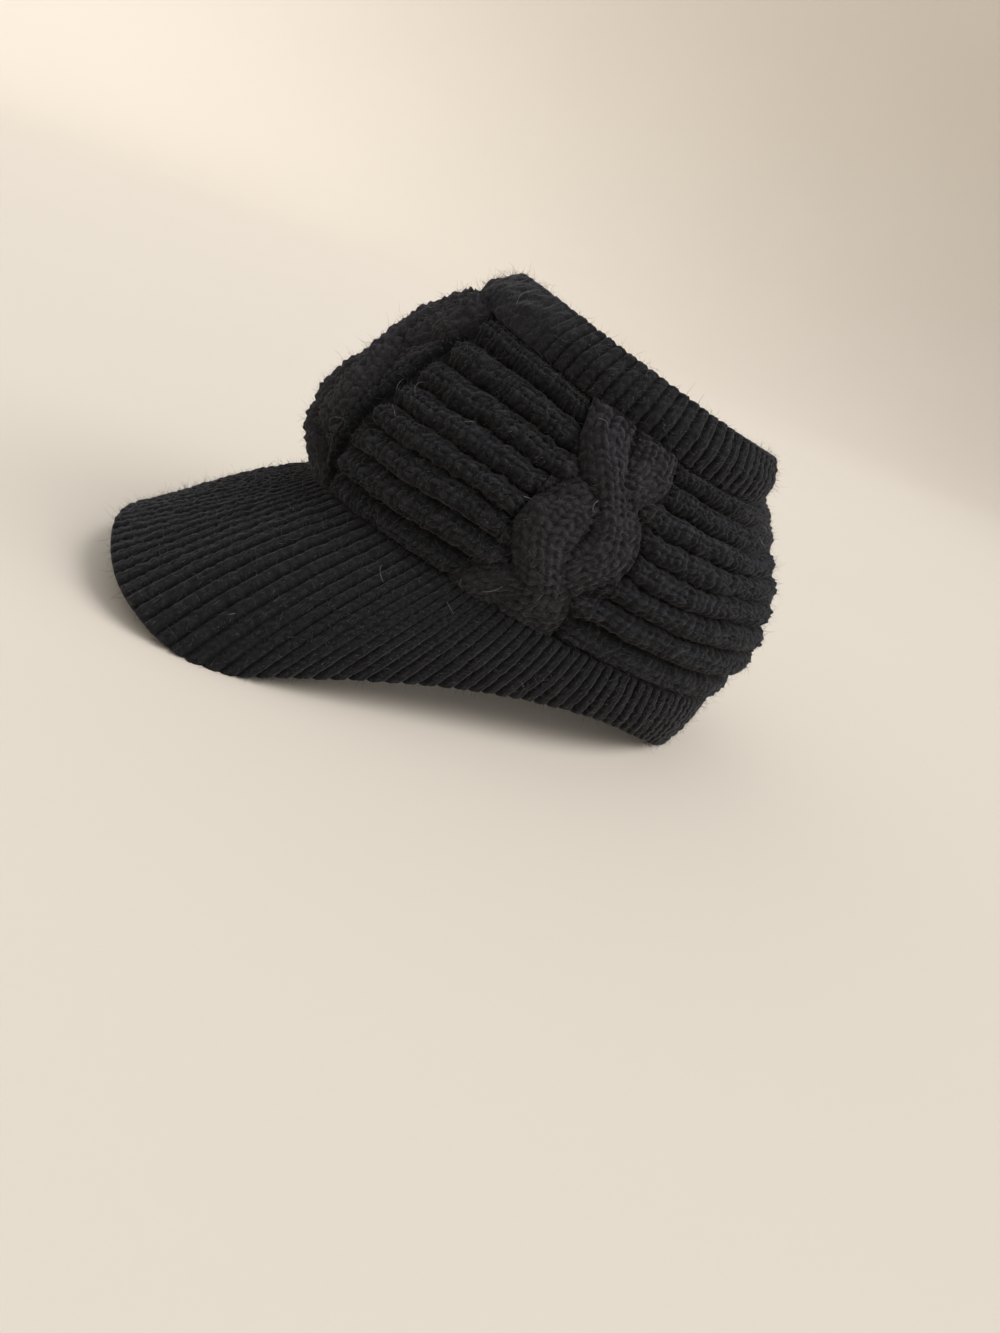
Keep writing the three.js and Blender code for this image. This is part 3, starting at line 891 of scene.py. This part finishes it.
def make_cable(shape, name, start, end, hand, fade):
    """A cable of two strands. fade is the share of height that they lose towards the cable's back edge."""
    sizes = shape.sizes
    stretch = Stretch(shape, start, end)
    width = stretch.width()

    def outer(across, rise):
        base = stretch.outer(across, rise, np.zeros_like(rise))
        side = hand * (2 * across - 1) + wavy(base, [CABLE_WAVE])
        turn = strand_turn(rise)
        sunk = (1 - FADE_DROP * fade) * (1 - fade * smooth_step((side - FADE_START) / FADE_REACH))
        sunk *= LOW_END + (1 - LOW_END) * smooth_step(rise / LOW_END_REACH)
        along = cable_stitches(sizes, base, rise)
        tops, strand_shades = [], []
        nearest = np.ones_like(rise)
        for begin in (0, math.pi):
            off = (side + STRAND_SWING * np.cos(turn + begin)) / STRAND_HALF
            body = np.maximum(0, 1 - off * off) ** STRAND_ROUNDNESS
            lift = sizes.cable_crossing * np.sin(turn + begin)
            fine = stitch_relief((off + 1) / 2 * STRAND_COLUMNS, along) * np.sqrt(body)
            stitches = CABLE_STITCH_HEIGHT * (fine - STRAND_STITCH_LEVEL)
            tuck = STRAND_TUCK * sizes.roll_end * (1 - body)
            tops.append(body * (sizes.cable_relief + lift) * sunk + stitches - tuck)
            # The strand's painted shade value: lighter on its round top and stitch bumps.
            strand_shades.append(painted_shade_of(STRAND_PAINTED_SHADE, body, fine))
            nearest = np.minimum(nearest, np.maximum(0, np.abs(off) - 1) * STRAND_HALF)
        rolls, roll_shade = roll_knit(sizes, base, rise, across * width / sizes.stitch, nearest * width / 2)
        if not fade:
            flat, flat_shade = bank_knit(sizes, base, rise, np.minimum(across, 1 - across) * width)
            sunk = np.exp(-(end_bank(rise) / END_GROOVE_REACH) ** 2)
            rolls = np.maximum(flat - END_GROOVE * sunk, deepest(rise))
            # Painted shade in the groove beside the plain knit of the front or back cable.
            roll_shade = flat_shade * (1 - BANK_GROOVE_PAINTED_SHADE * sunk)
        rolls = np.where(nearest > 0, rolls, -DEEPEST)
        strands = np.maximum(*tops)
        between = np.exp(-(np.abs(tops[0] - tops[1]) / STRAND_GROOVE_REACH) ** 2) * (strands > 0)
        relief = soft_highest(strands - STRAND_GROOVE * GROOVE_DEPTH * between, rolls)
        relief = relief + woolly(base, CABLE_WOOL_SEED, ROLL_WOOLLINESS)
        # Painted shade in the groove between the two strands.
        tone = np.clip(np.where(tops[0] > tops[1], *strand_shades) - STRAND_GROOVE_PAINTED_SHADE * between, 0, 1)
        height = np.where(strands > rolls, tone, roll_shade)
        return stretch.outer(across, rise, relief), height

    return grid_wall(name, CABLE_CELLS, sizes.crown_wall, outer, stretch.inner)


# Ribbed walls

def rib_relief(sizes, ribs, along, base, seed, strength=1.0):
    """Relief and height of fine ribs, where ribs counts them and along counts stitches up the wall. The
    height is a painted shade value, darker in the grooves and between stitches, and weaker where the ribs are
    faint.
    """
    part = ribs % 1
    round_share = np.abs(np.sin(math.pi * part)) ** RIB_ROUNDNESS
    groove = np.exp(-(np.minimum(part, 1 - part) / (RIB_GROOVE_HALF * GROOVE_HALF)) ** 2)
    along = along + wavy(base, [RIB_STITCH_WAVE], seed) + np.floor(ribs) * RIB_STITCH_SHIFT
    fine = stitch_relief(part, along) * round_share
    relief = -RIB_SHARE * sizes.rib_relief * (1 - round_share) - RIB_GROOVE_SHARE * GROOVE_DEPTH * groove
    wool = woolly(base, seed + 1, RIB_WOOLLINESS + PLAIN_WOOLLINESS * (1 - strength))
    height = np.clip(painted_shade_of(RIB_PAINTED_SHADE, round_share, fine), 0, 1)
    return strength * (relief + RIB_STITCH_HEIGHT * (fine - 0.5)) + wool, 1 - strength * (1 - height)


def make_lower(shape, name, first, last, wall, pitch_scale, cells, seed):
    """The peak or the band, from one row of the free edge to another."""
    sizes = shape.sizes
    place_at, length = shape.places(first, last)
    ribs = round(length / sizes.rib_pitch / pitch_scale)
    inset = sizes.gap / 2 / length
    middle = np.full(1, (first + last) / 2)
    depth = np.linalg.norm(shape.seam_point(middle) - shape.free_edge(middle), axis=-1)[0]

    def outer(across, up):
        place = place_at(inset + across * (1 - 2 * inset))
        rise = np.clip((up - LIP_SHARE) / (1 - LIP_SHARE), 0, 1)
        base = shape.lower_skin(place, rise)
        along = (up - LIP_SHARE) * depth / sizes.stitch
        relief, height = rib_relief(sizes, across * ribs, along, base, seed)
        points = base + scaled(shape.lower_normal(place, rise), relief)
        on_lip = up < LIP_SHARE
        turn_share = 1 - up[on_lip] / LIP_SHARE
        points[on_lip] = shape.lower_lip(place[on_lip], wall, turn_share, relief[on_lip])
        return shape.pressed(points), height

    def inner(across, up):
        place = place_at(inset + across * (1 - 2 * inset))
        rise = np.clip((up - LIP_SHARE) / (1 - LIP_SHARE), INNER_LOWEST, 1)
        return shape.pressed(shape.lower_skin(place, rise) - shape.lower_normal(place, rise) * wall)

    return grid_wall(name, cells, wall, outer, inner)


def make_rim(shape):
    sizes = shape.sizes
    side = shape.crown_surface(np.full(1, 90.0), np.ones(1))
    ribs = round(float(side.stretch[0]) * 360 / sizes.rib_pitch)

    def clearance(angle):
        return shape.crown_surface(angle, np.ones_like(angle)).upward * sizes.rim_gap

    def normal(angle, rise):
        seam = shape.crown_surface(angle, np.ones_like(angle)).normal
        own = shape.rim_surface(angle, rise).normal
        return unit(seam + scaled(own - seam, smooth_step(rise * 2)))

    def outer(across, up):
        angle = across * 360
        rise = np.clip(up / (1 - RIM_LIP_SHARE), 0, 1)
        base = shape.rim_skin(angle, rise) + clearance(angle)
        from_front = np.minimum(angle, 360 - angle)
        full = smooth_step((from_front - RIM_FADE_START) / RIM_FADE_REACH)
        strength = RIM_FRONT_STRENGTH + (1 - RIM_FRONT_STRENGTH) * full
        along = up * RIM_STITCHES * sizes.rim_height / sizes.stitch
        relief, height = rib_relief(sizes, across * ribs, along, base, RIM_SEED, strength)
        points = base + scaled(normal(angle, rise), relief)
        on_lip = up > 1 - RIM_LIP_SHARE
        turn = (up[on_lip] - 1 + RIM_LIP_SHARE) / RIM_LIP_SHARE * math.pi
        top = shape.rim_surface(angle[on_lip], rise[on_lip])
        sunk = relief[on_lip] * (1 - turn / math.pi) - sizes.rim_wall * (1 - np.cos(turn)) / 2
        outward = scaled(top.normal, sunk)
        points[on_lip] = base[on_lip] + outward + scaled(top.upward, sizes.lip * np.sin(turn))
        return points, height

    def inner(across, up):
        angle = across * 360
        rise = np.clip(up / (1 - RIM_LIP_SHARE), 0, INNER_HIGHEST)
        return shape.rim_skin(angle, rise) + clearance(angle) - normal(angle, rise) * sizes.rim_wall

    return grid_wall("rim_knit", RIM_CELLS, sizes.rim_wall, outer, inner, ring=True)


# Loose fibres

def scatter(piece, count, draw):
    """Points on the outer side of a piece with their normals, by area and fewer where the knit is deep."""
    mesh = piece.data
    mesh.calc_loop_triangles()
    corners = values_of(mesh.loop_triangles, "vertices", 3, int)
    points = values_of(mesh.vertices, "co", 3)
    normals = values_of(mesh.vertices, "normal", 3)
    height = values_of(mesh.attributes["height"].data, "value")
    inside = values_of(mesh.attributes["inside"].data, "value")
    corners = corners[inside[corners].max(axis=1) < 0.5]
    sides = points[corners[:, 1:]] - points[corners[:, :1]]
    area = np.linalg.norm(np.cross(sides[:, 0], sides[:, 1]), axis=-1)
    # The height attribute is the painted shade value, low where the knit is deep.
    weight = area * np.maximum(0, GROOVE_FIBRES + height[corners].mean(axis=1))
    chosen = corners[draw.choice(len(corners), count, p=weight / weight.sum())]
    shares = draw.dirichlet((1, 1, 1), count)
    place = (points[chosen] * shares[..., None]).sum(axis=1)
    outward = unit((normals[chosen] * shares[..., None]).sum(axis=1))
    return place, outward


def hair_mesh(name, paths, radii):
    """Thin three-sided hairs with closed roots and pointed tips. paths holds their points, root first."""
    paths[:, :, 2] = np.maximum(paths[:, :, 2], FLOOR_CLEARANCE)
    count, knots, _ = paths.shape
    direction = unit(paths[:, -1] - paths[:, 0])
    guide = np.where(np.abs(direction[:, 2:]) < 0.9, [[0.0, 0.0, 1.0]], [[1.0, 0.0, 0.0]])
    first = unit(np.cross(direction, guide))
    second = np.cross(direction, first)
    rings = []
    for knot in range(knots - 1):
        for corner in range(3):
            turn = math.tau * corner / 3
            off = first * math.cos(turn) + second * math.sin(turn)
            rings.append(paths[:, knot] + off * radii[knot])
    vertices = np.stack([*rings, paths[:, -1]], axis=1)
    faces = [(2, 1, 0)]
    for knot in range(knots - 2):
        for corner in range(3):
            here = 3 * knot + corner
            beside = 3 * knot + (corner + 1) % 3
            faces += [(here, beside, beside + 3), (here, beside + 3, here + 3)]
    tip = 3 * (knots - 1)
    last = tip - 3
    faces += [(last + corner, last + (corner + 1) % 3, tip) for corner in range(3)]
    per_hair = vertices.shape[1]
    triangles = (np.array(faces)[None] + np.arange(count)[:, None, None] * per_hair).reshape(-1, 3)
    mesh = bpy.data.meshes.new(name)
    mesh.from_pydata(vertices.reshape(-1, 3), [], triangles)
    piece = bpy.data.objects.new(name, mesh)
    bpy.context.collection.objects.link(piece)
    return piece


def make_fibres(name, sources, count, sizes, seed):
    """Short loose fibres that stand out from the knit and bend over."""
    draw = np.random.default_rng(seed)
    shares = np.array([len(source.data.polygons) for source in sources], float)
    shares /= shares.sum()
    roots, outwards = [], []
    for source, share in zip(sources, shares):
        place, outward = scatter(source, int(count * share), draw)
        roots.append(place)
        outwards.append(outward)
    root = np.concatenate(roots)
    outward = np.concatenate(outwards)
    total = len(root)
    length = sizes.fibre_length * np.clip(draw.lognormal(0, FIBRE_SPREAD, total), *FIBRE_LIMITS)
    lean = unit(outward + draw.normal(size=(total, 3)) * FIBRE_LEAN)
    lean = unit(lean + outward * np.maximum(0, FIBRE_LEAST_LIFT - (lean * outward).sum(axis=1))[:, None])
    bend = unit(np.cross(lean, draw.normal(size=(total, 3))))
    start = root - outward * ROOT_DEPTH
    paths = []
    for share in np.linspace(0, 1, FIBRE_KNOTS):
        arc = share * share * FIBRE_BEND
        paths.append(start + scaled(lean, length * share) + scaled(bend, length * arc))
    taper = [1 - FIBRE_TAPER * knot / FIBRE_KNOTS for knot in range(FIBRE_KNOTS - 1)]
    radii = [sizes.fibre_width / 2 * share for share in taper]
    return hair_mesh(name, np.stack(paths, axis=1), radii)


def make_lint(sources):
    """Pale stray hairs, longer and more curled than the wool's own fibres, caught on the knit."""
    draw = np.random.default_rng(LINT_SEED)
    paths = []
    for source in sources:
        place, outward = scatter(source, LINT_COUNT, draw)
        side = unit(np.cross(outward, draw.normal(size=(LINT_COUNT, 3))))
        other = np.cross(outward, side)
        length = draw.uniform(*LINT_LENGTHS, LINT_COUNT) * MM
        curl = draw.uniform(-LINT_CURL, LINT_CURL, LINT_COUNT)
        straight = np.abs(curl) < LINT_STRAIGHT
        points = []
        for share in np.linspace(0, 1, LINT_KNOTS):
            turn = curl * share
            forward = length * np.where(straight, share, np.sin(turn) / curl)
            sideways = length * np.where(straight, 0, (1 - np.cos(turn)) / curl)
            lift = LINT_CLEARANCE + LINT_ARCH * np.sin(math.pi * share) + share * length * LINT_RISE
            points.append(place + scaled(side, forward) + scaled(other, sideways) + scaled(outward, lift))
        paths.append(np.stack(points, axis=1))
    return hair_mesh("stray_hairs", np.concatenate(paths), [LINT_RADIUS] * (LINT_KNOTS - 1))


# Operators

def knit_crown(table, make, kind, slot):
    """Makes the panels or the cables from their table, each in place of the solid of its name."""
    shape = CapShape(bpy.context.scene.cap_sizes)
    edges = crown_edges(shape)
    for name, (start, end, *settings) in table.items():
        piece = make(shape, name + "_knit", edges[start], edges[end], *settings)
        finish_piece(piece, knit(kind), slot, name)


class CAP_OT_panels(bpy.types.Operator):
    """Knit the four panels of thick rolls"""

    bl_idname = "cap.panels"
    bl_label = "Panels of rolls"

    def execute(self, context):
        knit_crown(PANELS, make_panel, "roll knit", "roll_knit")
        return {"FINISHED"}


class CAP_OT_cables(bpy.types.Operator):
    """Knit the four cables between the panels"""

    bl_idname = "cap.cables"
    bl_label = "Cables"

    def execute(self, context):
        knit_crown(CABLES, make_cable, "cable knit", "cable_knit")
        return {"FINISHED"}


class CAP_OT_peak(bpy.types.Operator):
    """Knit the ribbed peak"""

    bl_idname = "cap.peak"
    bl_label = "Peak"

    def execute(self, context):
        sizes = context.scene.cap_sizes
        piece = make_lower(
            CapShape(sizes), "peak_knit", -PEAK_END_ROW, PEAK_END_ROW, sizes.peak_wall, PEAK_PITCH,
            PEAK_CELLS, PEAK_SEED)
        finish_piece(piece, knit("rib knit"), "rib_knit", "peak")
        return {"FINISHED"}


class CAP_OT_band(bpy.types.Operator):
    """Knit the ribbed band from the ends of the peak round the nape"""

    bl_idname = "cap.band"
    bl_label = "Band"

    def execute(self, context):
        sizes = context.scene.cap_sizes
        last = 2 * (len(EDGE_ROWS) - 1) - PEAK_END_ROW
        piece = make_lower(
            CapShape(sizes), "band_knit", PEAK_END_ROW, last, sizes.band_wall, 1, BAND_CELLS, BAND_SEED)
        finish_piece(piece, knit("rib knit"), "rib_knit", "band")
        return {"FINISHED"}


class CAP_OT_rim(bpy.types.Operator):
    """Knit the ribbed rim round the open top"""

    bl_idname = "cap.rim"
    bl_label = "Rim"

    def execute(self, context):
        piece = make_rim(CapShape(context.scene.cap_sizes))
        finish_piece(piece, knit("rib knit"), "rib_knit", "rim")
        return {"FINISHED"}


def knit_pieces(start):
    names = sorted(piece.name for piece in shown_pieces() if piece.name.endswith("_knit"))
    return [bpy.data.objects[name] for name in names if name.startswith(start)]


class CAP_OT_fuzz(bpy.types.Operator):
    """Cover the knit with loose wool fibres"""

    bl_idname = "cap.fuzz"
    bl_label = "Fuzz"

    def execute(self, context):
        sizes = context.scene.cap_sizes
        colours = context.scene.cap_colours
        material = shared_material("loose wool", lambda: fibre_material("loose wool", colours.fibre, 0.4))
        for seed, (name, (start, count, slot)) in enumerate(FUZZ.items()):
            piece = make_fibres(name, knit_pieces(start), count, sizes, FUZZ_SEED + seed)
            finish_piece(piece, material, slot)
        return {"FINISHED"}


class CAP_OT_lint(bpy.types.Operator):
    """Catch a few pale stray hairs in the knit"""

    bl_idname = "cap.lint"
    bl_label = "Stray hairs"

    def execute(self, context):
        colours = context.scene.cap_colours
        piece = make_lint(knit_pieces(""))
        material = shared_material("stray hair", lambda: fibre_material("stray hair", colours.lint, 0.0))
        finish_piece(piece, material, "rib_knit")
        return {"FINISHED"}


# Stage

def soft_sun(name, direction, strength, spread):
    """A broad, soft light that comes from a direction. spread is its width in degrees."""
    bpy.ops.object.light_add(type="SUN", location=direction)
    light = bpy.context.active_object
    light.name = name
    light.rotation_euler = Vector(direction).to_track_quat("Z", "Y").to_euler()
    light.data.energy = strength
    light.data.angle = math.radians(spread)


class CAP_OT_stage(bpy.types.Operator):
    """Set the pale floor with its rounded backdrop, the soft lights and the camera"""

    bl_idname = "cap.stage"
    bl_label = "Stage"

    def execute(self, context):
        bpy.ops.object.select_all(action="DESELECT")
        bpy.ops.mesh.primitive_circle_add(vertices=96, radius=FLOOR_RADIUS, fill_type="NGON")
        floor = context.active_object
        floor.name = "pale_floor"
        bpy.ops.object.mode_set(mode="EDIT")
        bpy.ops.mesh.select_mode(type="EDGE")
        bpy.ops.mesh.select_all(action="SELECT")
        bpy.ops.mesh.region_to_loop()
        radius = FLOOR_RADIUS
        height = 0.0
        for step in range(1, COVE_STEPS + 1):
            turn = math.pi / 2 * step / COVE_STEPS
            wanted = FLOOR_RADIUS + COVE_RADIUS * math.sin(turn)
            wanted_height = COVE_RADIUS * (1 - math.cos(turn))
            bpy.ops.mesh.extrude_edges_move()
            bpy.ops.transform.resize(value=(wanted / radius, wanted / radius, 1))
            bpy.ops.transform.translate(value=(0, 0, wanted_height - height))
            radius = wanted
            height = wanted_height
        bpy.ops.mesh.extrude_edges_move()
        bpy.ops.transform.translate(value=(0, 0, WALL_HEIGHT))
        bpy.ops.mesh.select_all(action="SELECT")
        bpy.ops.mesh.normals_make_consistent(inside=True)
        bpy.ops.object.mode_set(mode="OBJECT")
        bpy.ops.object.shade_smooth_by_angle(angle=math.radians(40))
        floor.data.materials.append(floor_material(context.scene.cap_colours.floor))
        floor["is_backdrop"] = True
        soft_sun("window", direction=(0.4, 0.9, 1.0), strength=1.95, spread=45)
        soft_sun("room", direction=(1.0, 0.6, 0.55), strength=0.9, spread=70)
        world = bpy.data.worlds.new("soft room")
        world.use_nodes = True
        backdrop = world.node_tree.nodes["Background"]
        backdrop.inputs["Color"].default_value = WORLD_COLOUR
        backdrop.inputs["Strength"].default_value = WORLD_STRENGTH
        context.scene.world = world
        context.scene.view_settings.view_transform = "Standard"
        axes = Matrix((CAMERA_RIGHT, CAMERA_UP, CAMERA_BACK)).transposed()
        bpy.ops.object.camera_add(location=CAMERA_PLACE, rotation=axes.to_euler())
        camera = context.active_object
        camera.name = "photo_camera"
        camera.data.lens = CAMERA_LENS
        camera.data.sensor_width = CAMERA_SENSOR
        camera.data.clip_start = 0.01
        context.scene.camera = camera
        return {"FINISHED"}


# Panel

STEPS = (
    CAP_OT_stage, CAP_OT_panels, CAP_OT_cables, CAP_OT_peak,
    CAP_OT_band, CAP_OT_rim, CAP_OT_fuzz, CAP_OT_lint,
)


class CAP_PT_sidebar(bpy.types.Panel):
    """Sizes, colours and steps of the knitted cap"""

    bl_idname = "CAP_PT_sidebar"
    bl_label = "Knitted Cap"
    bl_space_type = "VIEW_3D"
    bl_region_type = "UI"
    bl_category = "Knitted Cap"

    def draw(self, context):
        for group in (context.scene.cap_sizes, context.scene.cap_colours):
            box = self.layout.box()
            for name in group.__annotations__:
                box.prop(group, name)
        for step in STEPS:
            self.layout.operator(step.bl_idname)


CLASSES = (CapSizes, CapColours, *STEPS, CAP_PT_sidebar)


def register():
    for item in CLASSES:
        bpy.utils.register_class(item)
    bpy.types.Scene.cap_sizes = PointerProperty(type=CapSizes)
    bpy.types.Scene.cap_colours = PointerProperty(type=CapColours)


def unregister():
    del bpy.types.Scene.cap_colours
    del bpy.types.Scene.cap_sizes
    for item in reversed(CLASSES):
        bpy.utils.unregister_class(item)


def main():
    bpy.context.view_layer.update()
    register()
    bpy.ops.cap.stage()
    bpy.ops.cap.panels()
    bpy.ops.cap.cables()
    bpy.ops.cap.peak()
    bpy.ops.cap.band()
    bpy.ops.cap.rim()
    bpy.ops.cap.fuzz()
    bpy.ops.cap.lint()


if __name__ == "__main__":
    main()
